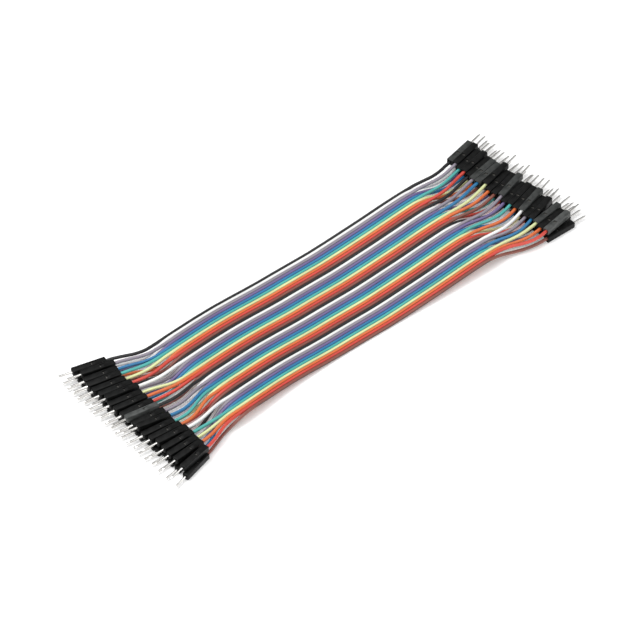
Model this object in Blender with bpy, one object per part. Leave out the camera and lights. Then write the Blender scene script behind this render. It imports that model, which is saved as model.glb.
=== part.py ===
"""A flat ribbon of forty breadboard jumper wires, plug to plug.

Forty round wires lie side by side as one bonded ribbon. Near both ends the ribbon splits
into single wires, and each wire ends in a square one-way housing with a square pin. The
housings lie on the table in two loose layers at each end. The wires are numbered from the
back edge of the ribbon, at +Y, to its front edge, at -Y. X runs along the ribbon.

The five wires at the front edge are built piece by piece: the jacketed wire, and at each
end the crimp terminal with its pin inside an open housing. On the other wires these pieces
are one solid from pin tip to pin tip, with the same outside.

Units are metres. The origin is at the middle of the footprint, on the table.
"""

import bmesh
import bpy
from math import cos, pi, radians, sin
from mathutils import Matrix, Vector

# Wire
WIRE_DIAMETER = 0.0012
BOND_GAP = 0.0001
WIRE_PITCH = WIRE_DIAMETER + BOND_GAP
WIRE_SIDES = 6

# Terminal: a crimp barrel for the jacket, a crimp for the strands, a box and a square pin
WIRE_CLEARANCE = 0.00005
BARREL_WALL = 0.0002
BARREL_LENGTH = 0.0024
STRAND_CRIMP_SIDE = 0.001
PIN_SIDE = 0.00064
PIN_REACH = 0.0065
PIN_TAPER = 0.0009
PIN_TIP_SIDE = 0.00026
BARREL_SIDE = WIRE_DIAMETER + 2 * (WIRE_CLEARANCE + BARREL_WALL)

# Housing: a square sleeve, open at the wire end, with a latch tongue in its window
TERMINAL_CLEARANCE = 0.0001
HOUSING_WALL = 0.00032
HOUSING_LENGTH = 0.014
NOSE_WALL = 0.0012
NOSE_CHAMFER = 0.0003
MOUTH_FLARE = 0.00012
MOUTH_FLARE_DEPTH = 0.0004
TERMINAL_INSET = 0.0008
PIN_HOLE_CLEARANCE = 0.00008
CAVITY_SIDE = BARREL_SIDE + 2 * TERMINAL_CLEARANCE
HOUSING_SIDE = CAVITY_SIDE + 2 * HOUSING_WALL

# Latch window, measured along the housing from its mouth
WINDOW_START = 0.0036
WINDOW_EDGE_STRIP = 0.00025
TONGUE_LENGTH = 0.0019
TONGUE_SLOT = 0.0001
TONGUE_SKIN = 0.00005
TONGUE_DIP = 0.00028
WINDOW_SLOT = 0.0007
WINDOW_RECESS = 0.00024
WINDOW_LENGTH = TONGUE_LENGTH + WINDOW_SLOT
WINDOW_WIDTH = CAVITY_SIDE - 2 * WINDOW_EDGE_STRIP
BOX_START = WINDOW_START + TONGUE_LENGTH + TERMINAL_CLEARANCE
RECESS_DEPTH = 0.0012

# Piles of housings at the two ends. The upper layer lies further back than the lower one.
LAYER_GAP = 0.0002
UPPER_SHIFT = 0.0013
LEFT_MOUTH_X = -0.0855
RIGHT_MOUTH_X = 0.088
LEFT_PILE_Y = -0.0023
RIGHT_PILE_Y = 0.0011
LEFT_SIDE_GAP = 0.00053
RIGHT_SIDE_GAP = 0.00015

# One row for each column of a pile, from back to front:
# lower wire, upper wire, lower yaw, upper yaw, lower set-back, upper set-back, upper pitch.
# A positive yaw turns the nose to the back, a positive pitch lifts it, and a positive
# set-back moves the housing out along X. Angles are in degrees.
LEFT_PILE = (
    (2, 1, 14, 14, -0.0009, 0.0001, 0),
    (4, 3, 13, 13, -0.0003, -0.0013, 1),
    (8, 5, 12, 12, -0.0005, -0.0004, 0),
    (10, 6, 11, 11, 0.0002, 0.0005, 0),
    (11, 7, 11, 10, -0.0007, 0.0007, 1),
    (13, 9, 9, 10, 0.0000, 0.0001, 0),
    (14, 12, 10, 9, 0.0003, -0.0003, 2),
    (15, 17, 9, 10, -0.0004, 0.0004, 0),
    (16, 18, 8, 8, 0.0001, 0.0006, 0),
    (20, 19, 8, 6, -0.0006, 0.0002, 0),
    (22, 21, 7, 8, 0.0002, 0.0005, 1),
    (24, 23, 8, 7, -0.0002, -0.0001, 0),
    (27, 25, 6, 9, 0.0004, 0.0003, 3),
    (29, 26, 5, 6, -0.0005, 0.0006, 0),
    (30, 28, 4, 4, 0.0000, 0.0000, 0),
    (31, 32, 2, 2, 0.0003, -0.0006, 2),
    (33, 36, 0, 0, -0.0004, -0.0008, 0),
    (34, 37, -4, -2, 0.0001, -0.0004, 0),
    (35, 38, -9, -6, 0.0004, -0.0002, 1),
    (40, 39, -16, -11, 0.0006, 0.0000, 0),
)
RIGHT_PILE = (
    (2, 1, 12, 13, 0.0009, -0.0012, 0),
    (4, 3, 10, 13, 0.0002, -0.0006, 1),
    (5, 6, 9, 12, -0.0004, -0.0015, 0),
    (7, 9, 8, 11, -0.0006, -0.0010, 2),
    (8, 11, 8, 10, 0.0000, -0.0012, 0),
    (10, 13, 9, 10, -0.0003, -0.0016, 2),
    (12, 15, 8, 10, 0.0001, -0.0014, 1),
    (14, 17, 9, 12, 0.0008, 0.0005, 4),
    (16, 18, 10, 12, 0.0004, -0.0008, 1),
    (19, 20, 9, 13, 0.0010, -0.0003, 2),
    (21, 23, 10, 15, 0.0006, 0.0009, 4),
    (22, 24, 10, 13, 0.0012, -0.0007, 1),
    (25, 26, 11, 14, 0.0009, 0.0001, 3),
    (27, 28, 12, 14, 0.0005, 0.0004, 4),
    (29, 32, 12, 15, 0.0013, 0.0012, 4),
    (30, 33, 12, 15, 0.0016, 0.0003, 0),
    (31, 35, 4, 16, 0.0009, 0.0010, 3),
    (34, 37, 4, 7, 0.0014, 0.0011, 2),
    (36, 38, 3, 8, 0.0017, 0.0005, 0),
    (40, 39, 0, 9, 0.0008, 0.0011, 1),
)

# Upper housings that stand proud of their layer, by wire: lift, and roll in degrees
LEFT_PROUD = {
    1: (0.0001, 0),
    3: (0.0005, 0),
    6: (0.0005, -4),
    9: (0.0002, 0),
    12: (0.0005, 3),
    18: (0.0004, 0),
    21: (0.0007, 9),
    25: (0.0005, 0),
    28: (0.0003, 0),
    32: (0.0006, -3),
    36: (0.0002, 0),
    38: (0.0004, 0),
}
RIGHT_PROUD = {
    1: (0.0003, 0),
    3: (0.0005, 0),
    9: (0.0005, 0),
    13: (0.0005, 0),
    15: (0.0006, 0),
    17: (0.0007, 0),
    23: (0.0007, 0),
    26: (0.0006, 0),
    28: (0.0003, 0),
    32: (0.0007, 0),
    35: (0.0005, 0),
    37: (0.0004, 0),
    39: (0.0004, 0),
}

# Middle line of the bonded ribbon: x, y and height. It lies on the table in the middle and
# arches towards both piles.
SPINE = (
    (-0.090, -0.0020, 0.0026),
    (-0.074, -0.0016, 0.0034),
    (-0.060, -0.0004, 0.0036),
    (-0.037, 0.0018, 0.0022),
    (-0.012, 0.0026, WIRE_DIAMETER / 2 + BOND_GAP),
    (0.012, 0.0027, WIRE_DIAMETER / 2 + BOND_GAP),
    (0.036, 0.0028, 0.0022),
    (0.061, 0.0032, 0.0038),
    (0.076, 0.0029, 0.0035),
    (0.092, 0.0022, 0.0026),
)
BOND_LEFT = 2
BOND_RIGHT = 7

# Where a wire leaves the ribbon it first rises or sinks to its layer, then moves sideways
# to its housing. The shares run from the straight lead-out at the mouth to the ribbon.
LEAD_OUT = 0.0026
SPLIT_STEPS = (0.35, 0.7)
LAYER_SHARE = 0.35
SIDEWAYS_SHARE = 0.7

WIRE_COUNT = 40
PIECE_BY_PIECE = (36, 37, 38, 39, 40)
COLOURS = (
    ("black", (0.018, 0.018, 0.020)),
    ("white", (0.80, 0.80, 0.78)),
    ("grey", (0.33, 0.31, 0.34)),
    ("purple", (0.19, 0.12, 0.30)),
    ("blue", (0.02, 0.13, 0.48)),
    ("green", (0.01, 0.33, 0.28)),
    ("yellow", (0.85, 0.68, 0.10)),
    ("orange", (0.80, 0.17, 0.03)),
    ("red", (0.62, 0.03, 0.03)),
    ("brown", (0.13, 0.065, 0.05)),
)


def make_material(name, colour, roughness, metallic=0.0):
    """Return a plain material of one colour."""
    material = bpy.data.materials.new(name)
    material.use_nodes = True
    shader = material.node_tree.nodes["Principled BSDF"]
    shader.inputs["Base Color"].default_value = (*colour, 1.0)
    shader.inputs["Roughness"].default_value = roughness
    shader.inputs["Metallic"].default_value = metallic
    return material


def make_materials():
    """Return the wire colours in their order, the housing plastic and the pin metal."""
    jackets = [make_material(f"jacket_{name}", colour, 0.45) for name, colour in COLOURS]
    plastic = make_material("housing_plastic", (0.016, 0.016, 0.018), 0.5)
    metal = make_material("pin_metal", (0.78, 0.76, 0.70), 0.25, 1.0)
    return jackets, plastic, metal


def new_object(name, data, materials):
    """Add an object with its materials to the scene."""
    for material in materials:
        data.materials.append(material)
    part = bpy.data.objects.new(name, data)
    bpy.context.scene.collection.objects.link(part)
    return part


def colour_index(wire):
    """Return which of the repeating colours a wire has."""
    return (wire - 1) % len(COLOURS)


# Layout of the piles


def plan_corners(yaw):
    """Return the corners of a housing's outline, seen from above, about its mouth."""
    along = Vector((cos(yaw), sin(yaw)))
    across = Vector((-sin(yaw), cos(yaw)))
    half = HOUSING_SIDE / 2
    return [along * u + across * v for u in (0.0, HOUSING_LENGTH) for v in (-half, half)]


def step_between(back, front, gap):
    """Return how far the front housing's mouth lies from the back one's, along Y.

    Both are given as yaw and set-back. Two outlines are clear of each other if the long
    side of either one parts them, so the smaller of the two steps is enough.
    """
    (back_yaw, back_out), (front_yaw, front_out) = back, front
    out = front_out - back_out
    normal = Vector((-sin(back_yaw), cos(back_yaw)))
    reach = max(corner.dot(normal) for corner in plan_corners(front_yaw))
    past_back = (gap + HOUSING_SIDE / 2 + reach - out * sin(back_yaw)) / cos(back_yaw)
    normal = Vector((-sin(front_yaw), cos(front_yaw)))
    reach = -min(corner.dot(normal) for corner in plan_corners(back_yaw))
    past_front = (gap + HOUSING_SIDE / 2 + reach - out * sin(front_yaw)) / cos(front_yaw)
    return min(past_back, past_front)


def layer_places(layer, gap, middle):
    """Return the mouth's Y of each housing in one layer, from back to front."""
    places = [0.0]
    for back, front in zip(layer, layer[1:]):
        places.append(places[-1] - step_between(back, front, gap))
    shift = middle - (places[0] + places[-1]) / 2
    return [place + shift for place in places]


def mouth_frame(side, x, y, bottom, yaw, pitch, roll=0.0):
    """Return the matrix of a housing: origin mid-mouth, local X to its nose.

    side is -1 at the left end and 1 at the right one. The housing tips about the lower
    edge of its mouth and rolls about its own middle line.
    """
    nose = Vector((side * cos(yaw) * cos(pitch), sin(yaw) * cos(pitch), sin(pitch)))
    across = Vector((-sin(yaw), side * cos(yaw), 0.0))
    up = nose.cross(across)
    origin = Vector((x, y, bottom)) + up * (HOUSING_SIDE / 2)
    turn = Matrix((nose, across, up)).transposed()
    return Matrix.Translation(origin) @ turn.to_4x4() @ Matrix.Rotation(roll, 4, "X")


def pile_frames(pile, proud, side, mouth_x, middle, gap):
    """Return the mouth frame of each wire's housing at one end, by wire number."""
    lower = [(radians(row[2]), row[4]) for row in pile]
    upper = [(radians(row[3]), row[5]) for row in pile]
    lower_y = layer_places(lower, gap, middle)
    upper_y = layer_places(upper, gap, middle + UPPER_SHIFT)
    frames = {}
    for row, (yaw, out), y in zip(pile, lower, lower_y):
        frames[row[0]] = mouth_frame(side, mouth_x + side * out, y, 0.0, yaw, 0.0)
    for row, (yaw, out), y in zip(pile, upper, upper_y):
        pitch = radians(row[6])
        lift, roll = proud.get(row[1], (0.0, 0))
        bottom = HOUSING_SIDE + LAYER_GAP + lift
        frames[row[1]] = mouth_frame(side, mouth_x + side * out, y, bottom, yaw, pitch, radians(roll))
    return frames


def footprint_middle(frames):
    """Return the middle, in X and Y, of the box around all housings and pins."""
    half = HOUSING_SIDE / 2
    tip = Vector((HOUSING_LENGTH + PIN_REACH, 0.0, 0.0))
    corners = [Vector((u, v, w)) for u in (0.0, HOUSING_LENGTH) for v in (-half, half) for w in (-half, half)]
    points = [frame @ corner for frame in frames for corner in corners + [tip]]
    middle = [(min(p[i] for p in points) + max(p[i] for p in points)) / 2 for i in (0, 1)]
    return Vector((*middle, 0.0))


# Route of a wire


def spine_at(x):
    """Return the ribbon's middle line at x, on a smooth curve through SPINE."""
    last = len(SPINE) - 1
    index = max(i for i in range(last) if i == 0 or SPINE[i][0] <= x)
    left, right = Vector(SPINE[index]), Vector(SPINE[index + 1])
    span = right.x - left.x
    slopes = []
    for i in (index, index + 1):
        before, after = Vector(SPINE[max(i - 1, 0)]), Vector(SPINE[min(i + 1, last)])
        slopes.append((after - before) / (after.x - before.x) * span)
    t = (x - left.x) / span
    point = (
        left * (2 * t**3 - 3 * t**2 + 1)
        + slopes[0] * (t**3 - 2 * t**2 + t)
        + right * (3 * t**2 - 2 * t**3)
        + slopes[1] * (t**3 - t**2)
    )
    return Vector((x, point.y, point.z))


def ribbon_point(wire, x):
    """Return a wire's place in the bonded ribbon at x."""
    offset = (WIRE_COUNT + 1) / 2 - wire
    return spine_at(x) + Vector((0.0, offset * WIRE_PITCH, 0.0))


def ease(share):
    """Return a smooth step from 0 to 1."""
    share = min(max(share, 0.0), 1.0)
    return share * share * (3 - 2 * share)


def fan_points(wire, frame, bond_x):
    """Return a wire's points between its housing and the ribbon, mouth side first."""
    mouth = frame.translation
    inward = -frame.col[0].to_3d()
    out = mouth + inward * LEAD_OUT
    points = [out]
    for t in SPLIT_STEPS:
        x = out.x + (bond_x - out.x) * t
        bonded = ribbon_point(wire, x)
        axis_y = out.y + inward.y * (x - out.x) / inward.x
        sideways = ease(t / SIDEWAYS_SHARE)
        merged = ease((t - LAYER_SHARE) / (1 - LAYER_SHARE))
        y = axis_y + (bonded.y - axis_y) * sideways
        z = out.z + (bonded.z - out.z) * merged
        points.append(Vector((x, y, z)))
    return points


def wire_route(wire, left, right, depth):
    """Return the points of a wire's middle line, from housing to housing.

    depth is how far the wire reaches into each mouth.
    """
    inside = Vector((depth, 0.0, 0.0))
    points = [left @ inside]
    points += fan_points(wire, left, SPINE[BOND_LEFT][0])
    points += [ribbon_point(wire, SPINE[i][0]) for i in range(BOND_LEFT, BOND_RIGHT + 1)]
    points += reversed(fan_points(wire, right, SPINE[BOND_RIGHT][0]))
    points.append(right @ inside)
    return points


# Mesh helpers


def square_ring(mesh, frame, x, side):
    """Add the four corners of a square across a housing's axis."""
    half = side / 2
    corners = ((half, half), (-half, half), (-half, -half), (half, -half))
    return [mesh.verts.new(frame @ Vector((x, y, z))) for y, z in corners]


def skin(mesh, first, second, slot=0):
    """Join two rings of equal length with a band of faces, and return the faces."""
    faces = []
    for i in range(len(first)):
        j = (i + 1) % len(first)
        face = mesh.faces.new((first[i], first[j], second[j], second[i]))
        face.material_index = slot
        faces.append(face)
    return faces


def cap(mesh, ring, slot=0):
    """Close a ring with one face."""
    mesh.faces.new(ring).material_index = slot


def loop_edges(ring):
    """Return the edges between the vertices of a ring."""
    pairs = zip(ring, ring[1:] + ring[:1])
    return [edge for a, b in pairs for edge in a.link_edges if b in edge.verts]


def lower_window(mesh, face, frame, start, depth):
    """Sink a window into a housing's top face and return the floor of the window."""
    slot = face.material_index
    bmesh.ops.inset_individual(mesh, faces=[face], thickness=WINDOW_EDGE_STRIP)
    inverse = frame.inverted()
    for vert in face.verts:
        local = inverse @ vert.co
        local.x = start if local.x < HOUSING_LENGTH / 2 else start + WINDOW_LENGTH
        local.y = WINDOW_WIDTH / 2 if local.y > 0 else -WINDOW_WIDTH / 2
        vert.co = frame @ local
    if depth:
        moved = bmesh.ops.extrude_discrete_faces(mesh, faces=[face])["faces"]
        drop = frame.to_3x3() @ Vector((0.0, 0.0, -depth))
        bmesh.ops.translate(mesh, vec=drop, verts=moved[0].verts)
        face = moved[0]
    face.material_index = slot
    return face


def mesh_object(name, mesh, materials):
    """Turn a bmesh into an object, with its faces pointing out and round faces smooth."""
    bmesh.ops.recalc_face_normals(mesh, faces=mesh.faces)
    data = bpy.data.meshes.new(name)
    mesh.to_mesh(data)
    mesh.free()
    data.shade_smooth()
    data.set_sharp_from_angle(angle=radians(62))
    return new_object(name, data, materials)


# Pieces


def build_housing(name, frame, plastic):
    """Build an open housing: a sleeve with a stepped bore, a window and a latch tongue."""
    mesh = bmesh.new()
    hole = PIN_SIDE + 2 * PIN_HOLE_CLEARANCE
    flare = CAVITY_SIDE + 2 * MOUTH_FLARE
    cavity_end = HOUSING_LENGTH - NOSE_WALL
    sections = (
        (HOUSING_LENGTH, HOUSING_SIDE - 2 * NOSE_CHAMFER),
        (HOUSING_LENGTH - NOSE_CHAMFER, HOUSING_SIDE),
        (0.0, HOUSING_SIDE),
        (0.0, flare),
        (MOUTH_FLARE_DEPTH, CAVITY_SIDE),
        (cavity_end, CAVITY_SIDE),
        (cavity_end, hole),
        (HOUSING_LENGTH, hole),
    )
    rings = [square_ring(mesh, frame, x, side) for x, side in sections]
    bands = [skin(mesh, a, b) for a, b in zip(rings, rings[1:] + rings[:1])]
    outer = lower_window(mesh, bands[1][0], frame, WINDOW_START, 0.0)
    inner = lower_window(mesh, bands[4][0], frame, WINDOW_START, 0.0)
    rims = outer.edges[:] + inner.edges[:]
    bmesh.ops.delete(mesh, geom=[outer, inner], context="FACES_ONLY")
    walls = bmesh.ops.bridge_loops(mesh, edges=rims)["faces"]
    add_tongue(mesh, walls, frame)
    return mesh_object(name, mesh, [plastic])


def add_tongue(mesh, walls, frame):
    """Grow the latch tongue from the window's wall nearest the mouth, towards the nose."""
    inverse = frame.inverted()
    root = min(walls, key=lambda face: (inverse @ face.calc_center_median()).x)
    bmesh.ops.inset_individual(mesh, faces=[root], thickness=TONGUE_SKIN)
    middle = (inverse @ root.calc_center_median()).z
    half_width = WINDOW_WIDTH / 2 - TONGUE_SLOT
    half_thick = HOUSING_WALL / 2 - TONGUE_SKIN
    for vert in root.verts:
        local = inverse @ vert.co
        local.y = half_width if local.y > 0 else -half_width
        local.z = middle + (half_thick if local.z > middle else -half_thick)
        vert.co = frame @ local
    tip = bmesh.ops.extrude_discrete_faces(mesh, faces=[root])["faces"][0]
    reach = frame.to_3x3() @ Vector((TONGUE_LENGTH, 0.0, -TONGUE_DIP))
    bmesh.ops.translate(mesh, vec=reach, verts=tip.verts)


def build_terminal(name, frame, metal):
    """Build a crimp terminal: barrel round the jacket, strand crimp, box and square pin."""
    mesh = bmesh.new()
    barrel_end = TERMINAL_INSET + BARREL_LENGTH
    box_end = HOUSING_LENGTH - NOSE_WALL - TERMINAL_CLEARANCE
    pin_end = HOUSING_LENGTH + PIN_REACH
    bore = WIRE_DIAMETER + 2 * WIRE_CLEARANCE
    sections = (
        (pin_end, PIN_TIP_SIDE),
        (pin_end - PIN_TAPER, PIN_SIDE),
        (box_end, PIN_SIDE),
        (box_end, BARREL_SIDE),
        (BOX_START, BARREL_SIDE),
        (BOX_START, STRAND_CRIMP_SIDE),
        (barrel_end, STRAND_CRIMP_SIDE),
        (barrel_end, BARREL_SIDE),
        (TERMINAL_INSET, BARREL_SIDE),
        (TERMINAL_INSET, bore),
        (barrel_end - BARREL_WALL, bore),
    )
    rings = [square_ring(mesh, frame, x, side) for x, side in sections]
    for a, b in zip(rings, rings[1:]):
        skin(mesh, a, b)
    cap(mesh, rings[0])
    cap(mesh, rings[-1])
    return mesh_object(name, mesh, [metal])


def build_wire(name, points, jacket):
    """Build a jacketed wire as a round tube along its points."""
    curve = bpy.data.curves.new(name, "CURVE")
    curve.dimensions = "3D"
    curve.bevel_depth = WIRE_DIAMETER / 2
    curve.bevel_resolution = 1
    curve.resolution_u = 1
    curve.render_resolution_u = 0
    curve.use_fill_caps = True
    spline = curve.splines.new("POLY")
    spline.points.add(len(points) - 1)
    for target, point in zip(spline.points, points):
        target.co = (*point, 1.0)
    return new_object(name, curve, [jacket])


def add_plug(mesh, frame):
    """Add the outside of a housing and its pin, open at the wire, and return that ring."""
    jacket_slot, plastic_slot, metal_slot = range(3)
    pin_end = HOUSING_LENGTH + PIN_REACH
    pin = [
        square_ring(mesh, frame, pin_end, PIN_TIP_SIDE),
        square_ring(mesh, frame, pin_end - PIN_TAPER, PIN_SIDE),
        square_ring(mesh, frame, HOUSING_LENGTH, PIN_SIDE),
    ]
    sections = (
        (HOUSING_LENGTH, HOUSING_SIDE - 2 * NOSE_CHAMFER),
        (HOUSING_LENGTH - NOSE_CHAMFER, HOUSING_SIDE),
        (0.0, HOUSING_SIDE),
        (0.0, CAVITY_SIDE),
        (RECESS_DEPTH, CAVITY_SIDE),
    )
    shell = [square_ring(mesh, frame, x, side) for x, side in sections]
    cap(mesh, pin[0], metal_slot)
    for a, b in zip(pin, pin[1:]):
        skin(mesh, a, b, metal_slot)
    bands = [skin(mesh, a, b, plastic_slot) for a, b in zip([pin[-1]] + shell, shell)]
    lower_window(mesh, bands[2][0], frame, WINDOW_START, WINDOW_RECESS)
    return shell[-1]


def wire_rings(mesh, points):
    """Add the cross-sections of a wire along its points and return the end rings."""
    rings = []
    last = len(points) - 1
    for i, point in enumerate(points):
        along = (points[min(i + 1, last)] - points[max(i - 1, 0)]).normalized()
        across = Vector((0.0, 0.0, 1.0)).cross(along).normalized()
        up = along.cross(across)
        ring = []
        for side in range(WIRE_SIDES):
            angle = 2 * pi * side / WIRE_SIDES
            offset = across * cos(angle) + up * sin(angle)
            ring.append(mesh.verts.new(point + offset * (WIRE_DIAMETER / 2)))
        rings.append(ring)
    for a, b in zip(rings, rings[1:]):
        skin(mesh, a, b)
    return rings[0], rings[-1]


def build_lead(name, points, left, right, materials):
    """Build a whole jumper wire as one solid, from pin tip to pin tip."""
    plastic_slot = 1
    mesh = bmesh.new()
    ends = wire_rings(mesh, points)
    for frame, ring in zip((left, right), ends):
        floor = add_plug(mesh, frame)
        edges = loop_edges(floor) + loop_edges(ring)
        filled = bmesh.ops.triangle_fill(mesh, use_beauty=True, edges=edges)["geom"]
        for face in [item for item in filled if isinstance(item, bmesh.types.BMFace)]:
            face.material_index = plastic_slot
    return mesh_object(name, mesh, materials)


def main():
    for thing in list(bpy.data.objects):
        bpy.data.objects.remove(thing, do_unlink=True)
    jackets, plastic, metal = make_materials()
    lefts = pile_frames(LEFT_PILE, LEFT_PROUD, -1, LEFT_MOUTH_X, LEFT_PILE_Y, LEFT_SIDE_GAP)
    rights = pile_frames(RIGHT_PILE, RIGHT_PROUD, 1, RIGHT_MOUTH_X, RIGHT_PILE_Y, RIGHT_SIDE_GAP)
    middle = footprint_middle(list(lefts.values()) + list(rights.values()))
    ribbon = bpy.data.objects.new("jumper_ribbon", None)
    ribbon.location = -middle
    bpy.context.scene.collection.objects.link(ribbon)

    for wire in range(1, WIRE_COUNT + 1):
        left, right = lefts[wire], rights[wire]
        colour = colour_index(wire)
        label = f"{wire:02d}_{COLOURS[colour][0]}"
        if wire in PIECE_BY_PIECE:
            depth = TERMINAL_INSET + BARREL_LENGTH - BARREL_WALL - WIRE_CLEARANCE
            points = wire_route(wire, left, right, depth)
            pieces = [build_wire(f"wire_{label}", points, jackets[colour])]
            for end, frame in (("left", left), ("right", right)):
                pieces.append(build_housing(f"housing_{wire:02d}_{end}", frame, plastic))
                pieces.append(build_terminal(f"terminal_{wire:02d}_{end}", frame, metal))
        else:
            points = wire_route(wire, left, right, RECESS_DEPTH)
            slots = [jackets[colour], plastic, metal]
            pieces = [build_lead(f"lead_{label}", points, left, right, slots)]
        for piece in pieces:
            piece.parent = ribbon


main()
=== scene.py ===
"""Looks of a flat ribbon of forty breadboard jumper wires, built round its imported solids.

Every wire is one jacketed tube from housing to housing. Its route passes through the points
that the solids use, on a smooth curve. Each end has a detailed plug housing and a crimp
terminal with a square pin. Units are metres, and the wires are numbered from the back edge.
"""

from math import cos, radians, sin

import bmesh
import bpy
from mathutils import Matrix, Vector

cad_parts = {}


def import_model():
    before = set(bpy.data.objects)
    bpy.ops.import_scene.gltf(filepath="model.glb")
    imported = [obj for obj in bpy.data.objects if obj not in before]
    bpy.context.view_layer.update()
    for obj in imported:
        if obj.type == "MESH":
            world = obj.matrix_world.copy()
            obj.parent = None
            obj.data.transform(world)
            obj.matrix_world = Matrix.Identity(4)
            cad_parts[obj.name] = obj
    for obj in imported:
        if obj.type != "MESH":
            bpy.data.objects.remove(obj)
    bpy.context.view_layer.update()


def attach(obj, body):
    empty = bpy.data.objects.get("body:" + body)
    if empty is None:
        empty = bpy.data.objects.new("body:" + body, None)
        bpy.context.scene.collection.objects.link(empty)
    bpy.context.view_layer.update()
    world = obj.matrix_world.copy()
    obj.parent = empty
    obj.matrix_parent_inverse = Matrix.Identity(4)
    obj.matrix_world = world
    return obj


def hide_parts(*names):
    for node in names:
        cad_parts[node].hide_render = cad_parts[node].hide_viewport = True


# Sizes shared with the solids
WIRE_DIAMETER = 0.0012
BOND_GAP = 0.0001
WIRE_PITCH = WIRE_DIAMETER + BOND_GAP
PIN_SIDE = 0.00064
PIN_REACH = 0.0065
PIN_TAPER = 0.0009
PIN_TIP_SIDE = 0.00026
BARREL_SIDE = 0.0017
BARREL_LENGTH = 0.0024
STRAND_CRIMP_SIDE = 0.001
HOUSING_LENGTH = 0.014
HOUSING_WALL = 0.00032
HOUSING_SIDE = 0.00254
CAVITY_SIDE = HOUSING_SIDE - 2 * HOUSING_WALL
NOSE_WALL = 0.0012
NOSE_CHAMFER = 0.0003
MOUTH_FLARE = 0.00012
MOUTH_FLARE_DEPTH = 0.0004
TERMINAL_INSET = 0.0008
TERMINAL_CLEARANCE = 0.0001
PIN_HOLE_SIDE = 0.0008
WINDOW_START = 0.0036
WINDOW_LENGTH = 0.0026
WINDOW_WIDTH = 0.0014
TONGUE_LENGTH = 0.0019
TONGUE_SLOT = 0.0001
TONGUE_DIP = 0.00028
BOX_START = WINDOW_START + TONGUE_LENGTH + TERMINAL_CLEARANCE

# Small forms that only the scene has
EDGE_ROUND = 0.00013
MOUTH_ROUND = 0.00004
WINDOW_INSET = 0.0002
TONGUE_ROOT_INSET = 0.00004
TONGUE_STEPS = 4
BARREL_PLAY = 0.00006
BARREL_FLOOR = 0.0002
JACKET_END_GAP = 0.0003
JACKET_DEPTH = TERMINAL_INSET + BARREL_LENGTH - JACKET_END_GAP
PIN_ROUND = 0.00005
TOUCH = 1e-6

# Piles of housings at the two ends
LAYER_GAP = 0.0002
UPPER_SHIFT = 0.0013
LEFT_MOUTH_X = -0.0855
RIGHT_MOUTH_X = 0.088
LEFT_PILE_Y = -0.0023
RIGHT_PILE_Y = 0.0011
LEFT_SIDE_GAP = 0.00053
RIGHT_SIDE_GAP = 0.00015

# Lower wire, upper wire, lower yaw, upper yaw, lower set-back, upper set-back, upper pitch
LEFT_PILE = (
    (2, 1, 14, 14, -0.0009, 0.0001, 0),
    (4, 3, 13, 13, -0.0003, -0.0013, 1),
    (8, 5, 12, 12, -0.0005, -0.0004, 0),
    (10, 6, 11, 11, 0.0002, 0.0005, 0),
    (11, 7, 11, 10, -0.0007, 0.0007, 1),
    (13, 9, 9, 10, 0.0000, 0.0001, 0),
    (14, 12, 10, 9, 0.0003, -0.0003, 2),
    (15, 17, 9, 10, -0.0004, 0.0004, 0),
    (16, 18, 8, 8, 0.0001, 0.0006, 0),
    (20, 19, 8, 6, -0.0006, 0.0002, 0),
    (22, 21, 7, 8, 0.0002, 0.0005, 1),
    (24, 23, 8, 7, -0.0002, -0.0001, 0),
    (27, 25, 6, 9, 0.0004, 0.0003, 3),
    (29, 26, 5, 6, -0.0005, 0.0006, 0),
    (30, 28, 4, 4, 0.0000, 0.0000, 0),
    (31, 32, 2, 2, 0.0003, -0.0006, 2),
    (33, 36, 0, 0, -0.0004, -0.0008, 0),
    (34, 37, -4, -2, 0.0001, -0.0004, 0),
    (35, 38, -9, -6, 0.0004, -0.0002, 1),
    (40, 39, -16, -11, 0.0006, 0.0000, 0),
)
RIGHT_PILE = (
    (2, 1, 12, 13, 0.0009, -0.0012, 0),
    (4, 3, 10, 13, 0.0002, -0.0006, 1),
    (5, 6, 9, 12, -0.0004, -0.0015, 0),
    (7, 9, 8, 11, -0.0006, -0.0010, 2),
    (8, 11, 8, 10, 0.0000, -0.0012, 0),
    (10, 13, 9, 10, -0.0003, -0.0016, 2),
    (12, 15, 8, 10, 0.0001, -0.0014, 1),
    (14, 17, 9, 12, 0.0008, 0.0005, 4),
    (16, 18, 10, 12, 0.0004, -0.0008, 1),
    (19, 20, 9, 13, 0.0010, -0.0003, 2),
    (21, 23, 10, 15, 0.0006, 0.0009, 4),
    (22, 24, 10, 13, 0.0012, -0.0007, 1),
    (25, 26, 11, 14, 0.0009, 0.0001, 3),
    (27, 28, 12, 14, 0.0005, 0.0004, 4),
    (29, 32, 12, 15, 0.0013, 0.0012, 4),
    (30, 33, 12, 15, 0.0016, 0.0003, 0),
    (31, 35, 4, 16, 0.0009, 0.0010, 3),
    (34, 37, 4, 7, 0.0014, 0.0011, 2),
    (36, 38, 3, 8, 0.0017, 0.0005, 0),
    (40, 39, 0, 9, 0.0008, 0.0011, 1),
)

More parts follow.
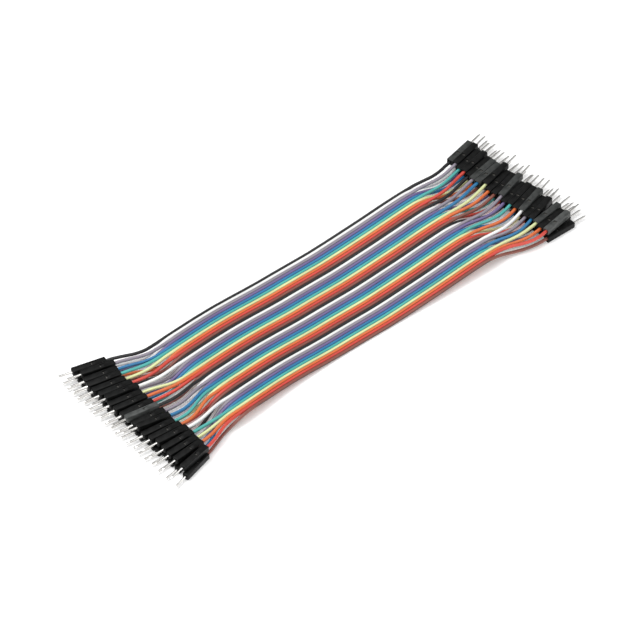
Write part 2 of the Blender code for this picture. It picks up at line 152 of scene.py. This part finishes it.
# Upper housings that stand proud of their layer, by wire: lift, and roll in degrees
LEFT_PROUD = {
    1: (0.0001, 0),
    3: (0.0005, 0),
    6: (0.0005, -4),
    9: (0.0002, 0),
    12: (0.0005, 3),
    18: (0.0004, 0),
    21: (0.0007, 9),
    25: (0.0005, 0),
    28: (0.0003, 0),
    32: (0.0006, -3),
    36: (0.0002, 0),
    38: (0.0004, 0),
}
RIGHT_PROUD = {
    1: (0.0003, 0),
    3: (0.0005, 0),
    9: (0.0005, 0),
    13: (0.0005, 0),
    15: (0.0006, 0),
    17: (0.0007, 0),
    23: (0.0007, 0),
    26: (0.0006, 0),
    28: (0.0003, 0),
    32: (0.0007, 0),
    35: (0.0005, 0),
    37: (0.0004, 0),
    39: (0.0004, 0),
}

# Middle line of the bonded ribbon
SPINE = (
    (-0.090, -0.0020, 0.0026),
    (-0.074, -0.0016, 0.0034),
    (-0.060, -0.0004, 0.0036),
    (-0.037, 0.0018, 0.0022),
    (-0.012, 0.0026, WIRE_DIAMETER / 2 + BOND_GAP),
    (0.012, 0.0027, WIRE_DIAMETER / 2 + BOND_GAP),
    (0.036, 0.0028, 0.0022),
    (0.061, 0.0032, 0.0038),
    (0.076, 0.0029, 0.0035),
    (0.092, 0.0022, 0.0026),
)
BOND_LEFT = -0.060
BOND_RIGHT = 0.061
LEAD_OUT = 0.0026
LAYER_SHARE = 0.35
SIDEWAYS_SHARE = 0.7

# Finer steps than the solids have
SPLIT_STEPS = (0.175, 0.35, 0.525, 0.7, 0.85)
RIBBON_STEPS = 15
CURVE_STEPS = 4

# The jacket's section: degrees round the wire, and its flat sides in the bond
JACKET_RADIUS = 0.00066
SECTION = (-90, -62, -38, -16, 16, 38, 62, 90, 118, 142, 164, 196, 218, 242)
FLAT_HALF_HEIGHT = 0.00014
FLAT_SIDE = WIRE_PITCH / 2 - 0.000002
SIDE_HALF_HEIGHT = JACKET_RADIUS / 3
BOND_EASE = 0.004
# Share of its colour that a jacket keeps in the bonded grooves between wires: painted shade
SEAM_SHADE_TONE = 0.12

WIRE_COUNT = 40
PIECE_BY_PIECE = (36, 37, 38, 39, 40)

# The housings' black plastic, then two lighter copies of it whose lightness is painted light, for
# housings that stand proud and catch the light: darker patches, lighter patches, specular level
BLACK_AND_PAINTED_LIT_PLASTICS = (
    ("black", (0.003, 0.0031, 0.0031), (0.008, 0.0083, 0.0082), 0.14),
    ("pale", (0.025, 0.027, 0.0263), (0.048, 0.051, 0.0495), 0.25),
    ("palest", (0.046, 0.0485, 0.0473), (0.084, 0.088, 0.086), 0.25),
)
# Housings that take one of the lighter copies with painted light, by wire: the place in the list
# of plastics above
PAINTED_LIT_HOUSINGS = {"left": {21: 2}, "right": {1: 1, 13: 1, 15: 1, 23: 1, 32: 1, 37: 1, 39: 2}}

# Metals of the pin and of the crimp, the crimp's darkened with painted shade for where it sits
# inside the housing: two colours and two roughnesses
METALS = (
    ("pin_metal", (0.62, 0.61, 0.59), (0.76, 0.75, 0.73), 0.14, 0.28),
    ("crimp_metal_painted_shade", (0.10, 0.095, 0.09), (0.16, 0.155, 0.145), 0.40, 0.55),
)

# Jacket colours, in the order that repeats
COLOURS = (
    ("black", (0.011, 0.011, 0.012)),
    ("white", (0.90, 0.90, 0.89)),
    ("grey", (0.275, 0.247, 0.292)),
    ("purple", (0.166, 0.128, 0.28)),
    ("blue", (0.026, 0.178, 0.38)),
    ("green", (0.072, 0.40, 0.375)),
    ("yellow", (0.69, 0.75, 0.38)),
    ("orange", (0.68, 0.155, 0.045)),
    ("red", (0.62, 0.068, 0.048)),
    ("brown", (0.23, 0.079, 0.059)),
)

# Streaks of a jacket, as shares of its colour, and the brightest that they may be
STREAK_TONES = (0.9, 1.08)
BRIGHTEST = 0.9

# Where the noise of a material starts and stops to move its colour and its roughness
COLOUR_RANGE = (0.35, 0.65)
ROUGHNESS_RANGE = (0.3, 0.7)

CAMERA_TARGET = (-0.00842, -0.000955, 0.0)
CAMERA_AZIMUTH = radians(-40)
CAMERA_ELEVATION = radians(44)
CAMERA_DISTANCE = 2.0574
CAMERA_LENS = 303.1

# Sky: strengths, the heights between which it brightens upwards, and the side of its front
SKY_BACK = 0.36
SKY_TOP = 1.58
SKY_TOP_RISE = (0.74, 0.94)
SKY_FRONT = 1.0
SKY_FRONT_SIDE = (-0.45, -0.89, 0.0)
SKY_FRONT_RISE = (0.3, 1.0)

KEY_PLACE = (-0.34, 0.36, 0.82)
KEY_SIDE = 0.5
KEY_POWER = 5.2
FLOOR_HALF = 1.6
FLOOR_WHITE = (0.93, 0.93, 0.93)
FLOOR_GLOW = 0.16


# Layout of the piles, as in the solids


def plan_corners(yaw):
    """Return a housing's four corners from above, with its mouth's middle at the origin."""
    along = Vector((cos(yaw), sin(yaw)))
    across = Vector((-sin(yaw), cos(yaw)))
    half = HOUSING_SIDE / 2
    return [along * u + across * v for u in (0.0, HOUSING_LENGTH) for v in (-half, half)]


def step_between(back, front, gap):
    """Return how far apart the mouths of two neighbours are, so that the gap stays open."""
    (back_yaw, back_out), (front_yaw, front_out) = back, front
    out = front_out - back_out
    normal = Vector((-sin(back_yaw), cos(back_yaw)))
    reach = max(corner.dot(normal) for corner in plan_corners(front_yaw))
    past_back = (gap + HOUSING_SIDE / 2 + reach - out * sin(back_yaw)) / cos(back_yaw)
    normal = Vector((-sin(front_yaw), cos(front_yaw)))
    reach = -min(corner.dot(normal) for corner in plan_corners(back_yaw))
    past_front = (gap + HOUSING_SIDE / 2 + reach - out * sin(front_yaw)) / cos(front_yaw)
    return min(past_back, past_front)


def layer_places(layer, gap, middle):
    """Return the Y of each mouth in a layer, back edge first, round the layer's middle."""
    places = [0.0]
    for back, front in zip(layer, layer[1:]):
        places.append(places[-1] - step_between(back, front, gap))
    shift = middle - (places[0] + places[-1]) / 2
    return [place + shift for place in places]


def mouth_frame(side, x, y, bottom, yaw, pitch, roll=0.0):
    """Return the matrix of a housing: origin mid-mouth, local X to its nose."""
    nose = Vector((side * cos(yaw) * cos(pitch), sin(yaw) * cos(pitch), sin(pitch)))
    across = Vector((-sin(yaw), side * cos(yaw), 0.0))
    up = nose.cross(across)
    origin = Vector((x, y, bottom)) + up * (HOUSING_SIDE / 2)
    turn = Matrix((nose, across, up)).transposed()
    return Matrix.Translation(origin) @ turn.to_4x4() @ Matrix.Rotation(roll, 4, "X")


def pile_frames(pile, proud, side, mouth_x, middle, gap):
    """Return the mouth frame of each wire's housing at one end, by wire number."""
    lower = [(radians(row[2]), row[4]) for row in pile]
    upper = [(radians(row[3]), row[5]) for row in pile]
    lower_y = layer_places(lower, gap, middle)
    upper_y = layer_places(upper, gap, middle + UPPER_SHIFT)
    frames = {}
    for row, (yaw, out), y in zip(pile, lower, lower_y):
        frames[row[0]] = mouth_frame(side, mouth_x + side * out, y, 0.0, yaw, 0.0)
    for row, (yaw, out), y in zip(pile, upper, upper_y):
        pitch = radians(row[6])
        lift, roll = proud.get(row[1], (0.0, 0))
        x = mouth_x + side * out
        bottom = HOUSING_SIDE + LAYER_GAP + lift
        frames[row[1]] = mouth_frame(side, x, y, bottom, yaw, pitch, radians(roll))
    return frames


def footprint_middle(frames):
    """Return the middle, in X and Y, of the box around all housings and pins."""
    half = HOUSING_SIDE / 2
    tip = Vector((HOUSING_LENGTH + PIN_REACH, 0.0, 0.0))
    ends = (0.0, HOUSING_LENGTH)
    corners = [Vector((u, v, w)) for u in ends for v in (-half, half) for w in (-half, half)]
    points = [frame @ corner for frame in frames for corner in corners + [tip]]
    middle = [(min(p[i] for p in points) + max(p[i] for p in points)) / 2 for i in (0, 1)]
    return Vector((*middle, 0.0))


# Routes of the wires


def spine_at(x):
    """Return the ribbon's middle line at x, on a smooth curve through SPINE."""
    last = len(SPINE) - 1
    index = max(i for i in range(last) if i == 0 or SPINE[i][0] <= x)
    left, right = Vector(SPINE[index]), Vector(SPINE[index + 1])
    span = right.x - left.x
    slopes = []
    for i in (index, index + 1):
        before, after = Vector(SPINE[max(i - 1, 0)]), Vector(SPINE[min(i + 1, last)])
        slopes.append((after - before) / (after.x - before.x) * span)
    t = (x - left.x) / span
    point = (
        left * (2 * t**3 - 3 * t**2 + 1)
        + slopes[0] * (t**3 - 2 * t**2 + t)
        + right * (3 * t**2 - 2 * t**3)
        + slopes[1] * (t**3 - t**2)
    )
    return Vector((x, point.y, point.z))


def ribbon_point(wire, x):
    """Return a wire's place in the bonded ribbon at x."""
    offset = (WIRE_COUNT + 1) / 2 - wire
    return spine_at(x) + Vector((0.0, offset * WIRE_PITCH, 0.0))


def ease(share):
    """Return a smooth step from 0 to 1."""
    share = min(max(share, 0.0), 1.0)
    return share * share * (3 - 2 * share)


def fan_points(wire, frame, bond_x):
    """Return a wire's points between its housing and the ribbon, mouth side first."""
    mouth = frame.translation
    inward = -frame.col[0].to_3d()
    out = mouth + inward * LEAD_OUT
    points = [out]
    for t in SPLIT_STEPS:
        x = out.x + (bond_x - out.x) * t
        bonded = ribbon_point(wire, x)
        axis_y = out.y + inward.y * (x - out.x) / inward.x
        sideways = ease(t / SIDEWAYS_SHARE)
        merged = ease((t - LAYER_SHARE) / (1 - LAYER_SHARE))
        y = axis_y + (bonded.y - axis_y) * sideways
        z = out.z + (bonded.z - out.z) * merged
        points.append(Vector((x, y, z)))
    return points


def wire_keys(wire, left, right):
    """Return the points that a wire's middle line passes through, left end first."""
    inside = Vector((JACKET_DEPTH, 0.0, 0.0))
    keys = [left @ inside, left.translation]
    keys += fan_points(wire, left, BOND_LEFT)
    for i in range(RIBBON_STEPS + 1):
        x = BOND_LEFT + (BOND_RIGHT - BOND_LEFT) * i / RIBBON_STEPS
        keys.append(ribbon_point(wire, x))
    keys += reversed(fan_points(wire, right, BOND_RIGHT))
    keys += [right.translation, right @ inside]
    return keys


def curve_slope(before, here, after, to_here, from_here):
    """Return the slope of a smooth curve at a point, from its neighbours and their spans."""
    return (
        (here - before) / to_here
        - (after - before) / (to_here + from_here)
        + (after - here) / from_here
    )


def smooth_line(keys):
    """Return points on a smooth curve that passes through all keys, above the table."""
    line = []
    padded = [keys[0] * 2 - keys[1]] + keys + [keys[-1] * 2 - keys[-2]]
    for before, a, b, after in zip(padded, padded[1:], padded[2:], padded[3:]):
        pairs = ((before, a), (a, b), (b, after))
        spans = [max((q - p).length, TOUCH) ** 0.5 for p, q in pairs]
        slope_a = curve_slope(before, a, b, spans[0], spans[1]) * spans[1]
        slope_b = curve_slope(a, b, after, spans[1], spans[2]) * spans[1]
        for step in range(CURVE_STEPS):
            t = step / CURVE_STEPS
            line.append(
                a * (2 * t**3 - 3 * t**2 + 1)
                + slope_a * (t**3 - 2 * t**2 + t)
                + b * (3 * t**2 - 2 * t**3)
                + slope_b * (t**3 - t**2)
            )
    line.append(keys[-1].copy())
    lowest = WIRE_DIAMETER / 2 + BOND_GAP
    for point in line:
        point.z = max(point.z, lowest)
    return line


# Materials


def node(tree, kind, **values):
    """Add a shader node and set its named inputs or properties."""
    made = tree.nodes.new(kind)
    for key, value in values.items():
        if key in made.inputs:
            made.inputs[key].default_value = value
        else:
            setattr(made, key, value)
    return made


def map_range(tree, source, target):
    """Return a node that takes one range of values to another."""
    made = node(tree, "ShaderNodeMapRange")
    names = ("From Min", "From Max", "To Min", "To Max")
    for name, value in zip(names, (*source, *target)):
        made.inputs[name].default_value = value
    return made


def surface_noise(tree, scale, stretch, detail=4.0):
    """Return a noise texture in object space, stretched along each axis."""
    coordinates = tree.nodes.new("ShaderNodeTexCoord")
    mapping = node(tree, "ShaderNodeMapping", Scale=stretch)
    noise = node(tree, "ShaderNodeTexNoise", Scale=scale, Detail=detail)
    tree.links.new(coordinates.outputs["Object"], mapping.inputs["Vector"])
    tree.links.new(mapping.outputs["Vector"], noise.inputs["Vector"])
    return noise


def plain(name, colour, roughness, metallic=0.0, specular=0.5):
    """Return a material, its node tree and its shader."""
    material = bpy.data.materials.new(name)
    material.use_nodes = True
    tree = material.node_tree
    shader = tree.nodes["Principled BSDF"]
    shader.inputs["Base Color"].default_value = (*colour, 1.0)
    shader.inputs["Roughness"].default_value = roughness
    shader.inputs["Metallic"].default_value = metallic
    shader.inputs["Specular IOR Level"].default_value = specular
    return material, tree, shader


def vary_colour(tree, shader, noise, dark, light):
    """Let the noise move the base colour between a darker and a lighter one."""
    ramp = tree.nodes.new("ShaderNodeValToRGB")
    ends = zip(ramp.color_ramp.elements, COLOUR_RANGE, (dark, light))
    for element, position, colour in ends:
        element.position = position
        element.color = (*colour, 1.0)
    tree.links.new(noise.outputs["Fac"], ramp.inputs["Fac"])
    tree.links.new(ramp.outputs["Color"], shader.inputs["Base Color"])


def vary_roughness(tree, shader, noise, low, high):
    """Let the noise move the roughness between two values."""
    spread = map_range(tree, ROUGHNESS_RANGE, (low, high))
    tree.links.new(noise.outputs["Fac"], spread.inputs["Value"])
    tree.links.new(spread.outputs["Result"], shader.inputs["Roughness"])


def add_bump(tree, shader, noise, strength, distance):
    """Roughen the surface with the noise."""
    bump = node(tree, "ShaderNodeBump", Strength=strength, Distance=distance)
    tree.links.new(noise.outputs["Fac"], bump.inputs["Height"])
    tree.links.new(bump.outputs["Normal"], shader.inputs["Normal"])


def paint_seam_shade(tree, shader):
    """Darken the base colour where neighbouring jackets are bonded: painted shade in the narrow
    grooves between the wires.
    """
    colour = shader.inputs["Base Color"].links[0].from_socket
    seam_shade = node(tree, "ShaderNodeAttribute", attribute_name="seam_shade")
    keep = map_range(tree, (0.0, 1.0), (1.0, SEAM_SHADE_TONE))
    scaled = node(tree, "ShaderNodeVectorMath", operation="SCALE")
    tree.links.new(seam_shade.outputs["Fac"], keep.inputs["Value"])
    tree.links.new(keep.outputs["Result"], scaled.inputs["Scale"])
    tree.links.new(colour, scaled.inputs[0])
    tree.links.new(scaled.outputs["Vector"], shader.inputs["Base Color"])


def jacket_material(name, colour):
    """Return the satin vinyl of one wire colour, with faint streaks along the wire and painted
    shade in the grooves of the bond.
    """
    material, tree, shader = plain(f"jacket_{name}", colour, roughness=0.36)
    shader.inputs["Coat Weight"].default_value = 0.12
    shader.inputs["Coat Roughness"].default_value = 0.25
    streaks = surface_noise(tree, scale=60.0, stretch=(1.0, 14.0, 14.0))
    dark, light = ([min(c * tone, BRIGHTEST) for c in colour] for tone in STREAK_TONES)
    vary_colour(tree, shader, streaks, dark, light)
    # Painted shade in the grooves between bonded wires
    paint_seam_shade(tree, shader)
    fine = surface_noise(tree, scale=900.0, stretch=(0.35, 1.0, 1.0), detail=3.0)
    vary_roughness(tree, shader, fine, low=0.29, high=0.44)
    add_bump(tree, shader, fine, strength=0.12, distance=0.00006)
    return material


def housing_material(name, dark, light, specular):
    """Return the black moulded plastic of the housings, or a lighter copy of it with painted
    light, with a fine sparked texture.
    """
    material, tree, shader = plain(f"housing_{name}", light, roughness=0.5, specular=specular)
    cloud = surface_noise(tree, scale=650.0, stretch=(0.5, 1.0, 1.0))
    vary_colour(tree, shader, cloud, dark, light)
    grain = surface_noise(tree, scale=3800.0, stretch=(1.0, 1.0, 1.0), detail=2.0)
    vary_roughness(tree, shader, cloud, low=0.32, high=0.46)
    add_bump(tree, shader, grain, strength=0.25, distance=0.00003)
    return material


def metal_material(name, dark, light, low, high):
    """Return tin plating with faint drawing marks, between two colours and two roughnesses."""
    material, tree, shader = plain(name, light, roughness=high, metallic=1.0)
    marks = surface_noise(tree, scale=1500.0, stretch=(0.08, 1.0, 1.0), detail=3.0)
    vary_colour(tree, shader, marks, dark, light)
    vary_roughness(tree, shader, marks, low, high)
    add_bump(tree, shader, marks, strength=0.08, distance=0.00003)
    return material


# Meshes


def square_ring(mesh, x, side):
    """Add the four corners of a square across a housing's axis."""
    half = side / 2
    corners = ((half, half), (-half, half), (-half, -half), (half, -half))
    return [mesh.verts.new((x, y, z)) for y, z in corners]


def skin(mesh, first, second):
    """Join two rings of equal length with a band of faces, and return the faces."""
    count = len(first)
    pairs = [(i, (i + 1) % count) for i in range(count)]
    return [mesh.faces.new((first[i], first[j], second[j], second[i])) for i, j in pairs]


def finished(mesh, name, materials, smooth_angle=40):
    """Turn a bmesh into mesh data with its faces pointing out."""
    bmesh.ops.recalc_face_normals(mesh, faces=mesh.faces)
    data = bpy.data.meshes.new(name)
    mesh.to_mesh(data)
    mesh.free()
    data.shade_smooth()
    data.set_sharp_from_angle(angle=radians(smooth_angle))
    for material in materials:
        data.materials.append(material)
    return data


def place(name, data, frame, slot_name, cad_node):
    """Add a piece to the scene, on the root body, in the place of a CAD node."""
    piece = bpy.data.objects.new(name, data)
    bpy.context.scene.collection.objects.link(piece)
    piece.matrix_world = frame
    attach(piece, "root")
    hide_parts(cad_node)
    return piece


def edges_where(mesh, test):
    """Return the edges whose two ends both pass a test on their place."""
    return [e for e in mesh.edges if all(test(v.co) for v in e.verts)]


def round_edges(mesh, edges, width, segments=2):
    """Round some edges of the mesh."""
    bmesh.ops.bevel(
        mesh, geom=edges, offset=width, segments=segments, profile=0.5, affect="EDGES"
    )


def window_face(mesh, face):
    """Shrink a face to the latch window, with a frame of faces round it, and return it."""
    bmesh.ops.inset_individual(mesh, faces=[face], thickness=WINDOW_INSET)
    window_end = WINDOW_START + WINDOW_LENGTH
    for vert in face.verts:
        vert.co.x = WINDOW_START if vert.co.x < HOUSING_LENGTH / 2 else window_end
        vert.co.y = WINDOW_WIDTH / 2 if vert.co.y > 0 else -WINDOW_WIDTH / 2
    return face


def housing_data(name, material):
    """Return the mesh of a plug housing: sleeve, flared mouth, window, tongue and nose."""
    mesh = bmesh.new()
    cavity_end = HOUSING_LENGTH - NOSE_WALL
    sections = (
        (HOUSING_LENGTH, HOUSING_SIDE - 2 * NOSE_CHAMFER),
        (HOUSING_LENGTH - NOSE_CHAMFER, HOUSING_SIDE),
        (0.0, HOUSING_SIDE),
        (0.0, CAVITY_SIDE + 2 * MOUTH_FLARE),
        (MOUTH_FLARE_DEPTH, CAVITY_SIDE),
        (cavity_end, CAVITY_SIDE),
        (cavity_end, PIN_HOLE_SIDE),
        (HOUSING_LENGTH, PIN_HOLE_SIDE),
    )
    rings = [square_ring(mesh, x, side) for x, side in sections]
    bands = [skin(mesh, a, b) for a, b in zip(rings, rings[1:] + rings[:1])]
    outer = window_face(mesh, bands[1][0])
    inner = window_face(mesh, bands[4][0])
    rims = outer.edges[:] + inner.edges[:]
    bmesh.ops.delete(mesh, geom=[outer, inner], context="FACES_ONLY")
    walls = bmesh.ops.bridge_loops(mesh, edges=rims)["faces"]
    root = min(walls, key=lambda face: face.calc_center_median().x)
    grow_tongue(mesh, root)
    bmesh.ops.recalc_face_normals(mesh, faces=mesh.faces)
    half = HOUSING_SIDE / 2 - TOUCH
    corners = edges_where(mesh, lambda co: abs(co.y) > half and abs(co.z) > half)
    long_edges = [e for e in corners if e.calc_length() > HOUSING_LENGTH / 2]
    front = HOUSING_LENGTH - NOSE_CHAMFER - TOUCH
    ends = edges_where(mesh, lambda co: co.x > front)
    nose = [e for e in ends if all(max(abs(v.co.y), abs(v.co.z)) > PIN_HOLE_SIDE for v in e.verts)]
    round_edges(mesh, long_edges + nose, EDGE_ROUND, segments=3)
    mouth = edges_where(mesh, lambda co: abs(co.x) < TOUCH)
    round_edges(mesh, mouth, MOUTH_ROUND)
    return finished(mesh, name, [material])


def grow_tongue(mesh, root):
    """Grow the latch tongue from the window's wall nearest the mouth, towards the nose."""
    bmesh.ops.inset_individual(mesh, faces=[root], thickness=TONGUE_ROOT_INSET)
    middle = root.calc_center_median().z
    half_width = WINDOW_WIDTH / 2 - TONGUE_SLOT
    half_thick = HOUSING_WALL / 2 - TONGUE_ROOT_INSET
    for vert in root.verts:
        vert.co.y = half_width if vert.co.y > 0 else -half_width
        vert.co.z = middle + (half_thick if vert.co.z > middle else -half_thick)
    face = root
    for step in range(TONGUE_STEPS):
        face = bmesh.ops.extrude_discrete_faces(mesh, faces=[face])["faces"][0]
        share = (2 * step + 1) / TONGUE_STEPS**2
        move = Vector((TONGUE_LENGTH / TONGUE_STEPS, 0.0, -TONGUE_DIP * share))
        bmesh.ops.translate(mesh, vec=move, verts=face.verts)


def terminal_data(bright, shaded_metal):
    """Return the mesh of a crimp terminal: barrel, strand crimp and box in a metal darkened with
    painted shade, and bright pin.
    """
    mesh = bmesh.new()
    barrel_end = TERMINAL_INSET + BARREL_LENGTH
    bore = 2 * JACKET_RADIUS + BARREL_PLAY
    box_end = HOUSING_LENGTH - NOSE_WALL - TERMINAL_CLEARANCE
    pin_end = HOUSING_LENGTH + PIN_REACH
    sections = (
        (pin_end, PIN_TIP_SIDE),
        (pin_end - PIN_TAPER, PIN_SIDE),
        (box_end, PIN_SIDE),
        (box_end, BARREL_SIDE),
        (BOX_START, BARREL_SIDE),
        (BOX_START, STRAND_CRIMP_SIDE),
        (barrel_end, STRAND_CRIMP_SIDE),
        (barrel_end, BARREL_SIDE),
        (TERMINAL_INSET, BARREL_SIDE),
        (TERMINAL_INSET, bore),
        (barrel_end - BARREL_FLOOR, bore),
    )
    rings = [square_ring(mesh, x, side) for x, side in sections]
    for a, b in zip(rings, rings[1:]):
        skin(mesh, a, b)
    mesh.faces.new(rings[0])
    mesh.faces.new(rings[-1])
    bmesh.ops.recalc_face_normals(mesh, faces=mesh.faces)
    pin = edges_where(mesh, lambda co: co.x > box_end - TOUCH and abs(co.y) < PIN_SIDE)
    round_edges(mesh, pin, PIN_ROUND)
    data = finished(mesh, "crimp_terminal", [bright, shaded_metal])
    # The barrel, strand crimp and box take the metal darkened with painted shade
    for face in data.polygons:
        face.material_index = int(face.center.x < box_end + TOUCH)
    return data


def jacket_data(name, line, material):
    """Return the mesh of a wire's jacket, round where it is free and flat-sided in the bond."""
    mesh = bmesh.new()
    # A weight at each corner for the painted shade on the jacket's bonded flanks
    seam_shade = mesh.verts.layers.float.new("seam_shade")
    last = len(line) - 1
    rings = []
    for i, point in enumerate(line):
        along = (line[min(i + 1, last)] - line[max(i - 1, 0)]).normalized()
        across = Vector((0.0, 0.0, 1.0)).cross(along).normalized()
        up = along.cross(across)
        past = max(BOND_LEFT - point.x, point.x - BOND_RIGHT, 0.0)
        bond = 1 - ease(past / BOND_EASE)
        ring = []
        for degrees in SECTION:
            angle = radians(degrees)
            u, v = JACKET_RADIUS * cos(angle), JACKET_RADIUS * sin(angle)
            if abs(v) < SIDE_HALF_HEIGHT:
                side = 1 if u > 0 else -1
                u += (side * FLAT_SIDE - u) * bond
                v += ((FLAT_HALF_HEIGHT if v > 0 else -FLAT_HALF_HEIGHT) - v) * bond
            vert = mesh.verts.new(point + across * u + up * v)
            vert[seam_shade] = bond if abs(v) <= FLAT_HALF_HEIGHT else 0.0
            ring.append(vert)
        rings.append(ring)
    for a, b in zip(rings, rings[1:]):
        skin(mesh, a, b)
    mesh.faces.new(rings[0])
    mesh.faces.new(rings[-1])
    return finished(mesh, name, [material], smooth_angle=60)


# Camera, lights and floor


def add_camera():
    """Put the camera at the photograph's angle."""
    data = bpy.data.cameras.new("camera")
    data.lens = CAMERA_LENS
    data.sensor_width = 36.0
    data.clip_start = 0.05
    data.clip_end = 20.0
    camera = bpy.data.objects.new("camera", data)
    bpy.context.scene.collection.objects.link(camera)
    forward = Vector((
        -sin(CAMERA_AZIMUTH) * cos(CAMERA_ELEVATION),
        cos(CAMERA_AZIMUTH) * cos(CAMERA_ELEVATION),
        -sin(CAMERA_ELEVATION),
    ))
    right = Vector((cos(CAMERA_AZIMUTH), sin(CAMERA_AZIMUTH), 0.0))
    up = right.cross(forward)
    turn = Matrix((right, up, -forward)).transposed()
    place_at = Vector(CAMERA_TARGET) - forward * CAMERA_DISTANCE
    camera.matrix_world = Matrix.Translation(place_at) @ turn.to_4x4()
    bpy.context.scene.camera = camera


def add_key():
    """Add the soft square light that looks at the object from over its back edge."""
    data = bpy.data.lights.new("key", "AREA")
    data.shape = "SQUARE"
    data.size = KEY_SIDE
    data.energy = KEY_POWER
    light = bpy.data.objects.new("key", data)
    bpy.context.scene.collection.objects.link(light)
    light.location = KEY_PLACE
    light.rotation_euler = (-Vector(KEY_PLACE)).to_track_quat("-Z", "Y").to_euler()


def add_floor():
    """Add the plain pale floor, which glows a little as a light table does."""
    half = FLOOR_HALF
    corners = [(-half, -half, 0), (half, -half, 0), (half, half, 0), (-half, half, 0)]
    data = bpy.data.meshes.new("floor")
    data.from_pydata(corners, [], [(0, 1, 2, 3)])
    floor = bpy.data.objects.new("floor", data)
    bpy.context.scene.collection.objects.link(floor)
    material, _, shader = plain("floor_white", FLOOR_WHITE, roughness=0.7, specular=0.2)
    shader.inputs["Emission Color"].default_value = (1.0, 1.0, 1.0, 1.0)
    shader.inputs["Emission Strength"].default_value = FLOOR_GLOW
    data.materials.append(material)


def sky_part(tree, towards, rise_range, strengths):
    """Return a light strength that rises from dim to bright towards one side of the sky."""
    direction = tree.nodes.new("ShaderNodeTexCoord")
    facing = node(tree, "ShaderNodeVectorMath", operation="DOT_PRODUCT")
    facing.inputs[1].default_value = towards
    rise = map_range(tree, rise_range, strengths)
    tree.links.new(direction.outputs["Generated"], facing.inputs[0])
    tree.links.new(facing.outputs["Value"], rise.inputs["Value"])
    return rise.outputs["Result"]


def add_light():
    """Add the studio light: a sky bright overhead and in front, and the key light."""
    world = bpy.data.worlds.new("studio")
    bpy.context.scene.world = world
    world.use_nodes = True
    tree = world.node_tree
    sky = tree.nodes["Background"]
    sky.inputs["Color"].default_value = (1.0, 1.0, 1.0, 1.0)
    top = sky_part(tree, (0.0, 0.0, 1.0), SKY_TOP_RISE, (SKY_BACK, SKY_TOP))
    front = sky_part(tree, SKY_FRONT_SIDE, SKY_FRONT_RISE, (0.0, SKY_FRONT))
    both = node(tree, "ShaderNodeMath", operation="ADD")
    tree.links.new(top, both.inputs[0])
    tree.links.new(front, both.inputs[1])
    tree.links.new(both.outputs["Value"], sky.inputs["Strength"])
    add_key()
    bpy.context.scene.view_settings.view_transform = "Standard"


def add_wire(wire, left, right, middle, jackets, housings, terminal):
    turn = (wire - 1) % len(COLOURS)
    colour = COLOURS[turn][0]
    label = f"{wire:02d}_{colour}"
    whole = wire not in PIECE_BY_PIECE
    lead = f"lead_{label}" if whole else f"wire_{label}"
    line = [point - middle for point in smooth_line(wire_keys(wire, left, right))]
    data = jacket_data(f"jacket_{label}", line, jackets[turn])
    cord = place(f"cord_{label}", data, Matrix(), f"jacket_{colour}", lead)
    for end, mouth in (("left", left), ("right", right)):
        shell_node = lead if whole else f"housing_{wire:02d}_{end}"
        metal_node = lead if whole else f"terminal_{wire:02d}_{end}"
        at = Matrix.Translation(-middle) @ mouth
        # Proud housings take a lighter copy of the plastic: painted light
        housing = housings[PAINTED_LIT_HOUSINGS[end].get(wire, 0)]
        place(f"shell_{wire:02d}_{end}", housing, at, "housing_plastic", shell_node)
        place(f"pin_{wire:02d}_{end}", terminal, at, "pin_metal", metal_node)


def build():
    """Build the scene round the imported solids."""
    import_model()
    lefts = pile_frames(LEFT_PILE, LEFT_PROUD, -1, LEFT_MOUTH_X, LEFT_PILE_Y, LEFT_SIDE_GAP)
    rights = pile_frames(RIGHT_PILE, RIGHT_PROUD, 1, RIGHT_MOUTH_X, RIGHT_PILE_Y, RIGHT_SIDE_GAP)
    middle = footprint_middle(list(lefts.values()) + list(rights.values()))

    add_camera()
    jackets = [jacket_material(name, colour) for name, colour in COLOURS]
    plastics = [housing_material(*plastic) for plastic in BLACK_AND_PAINTED_LIT_PLASTICS]
    metals = [metal_material(*metal) for metal in METALS]
    housings = [
        housing_data(f"plug_housing_{plastic[0]}", material)
        for plastic, material in zip(BLACK_AND_PAINTED_LIT_PLASTICS, plastics)
    ]
    terminal = terminal_data(*metals)
    for wire in range(1, WIRE_COUNT + 1):
        add_wire(wire, lefts[wire], rights[wire], middle, jackets, housings, terminal)
    add_floor()
    add_light()


build()
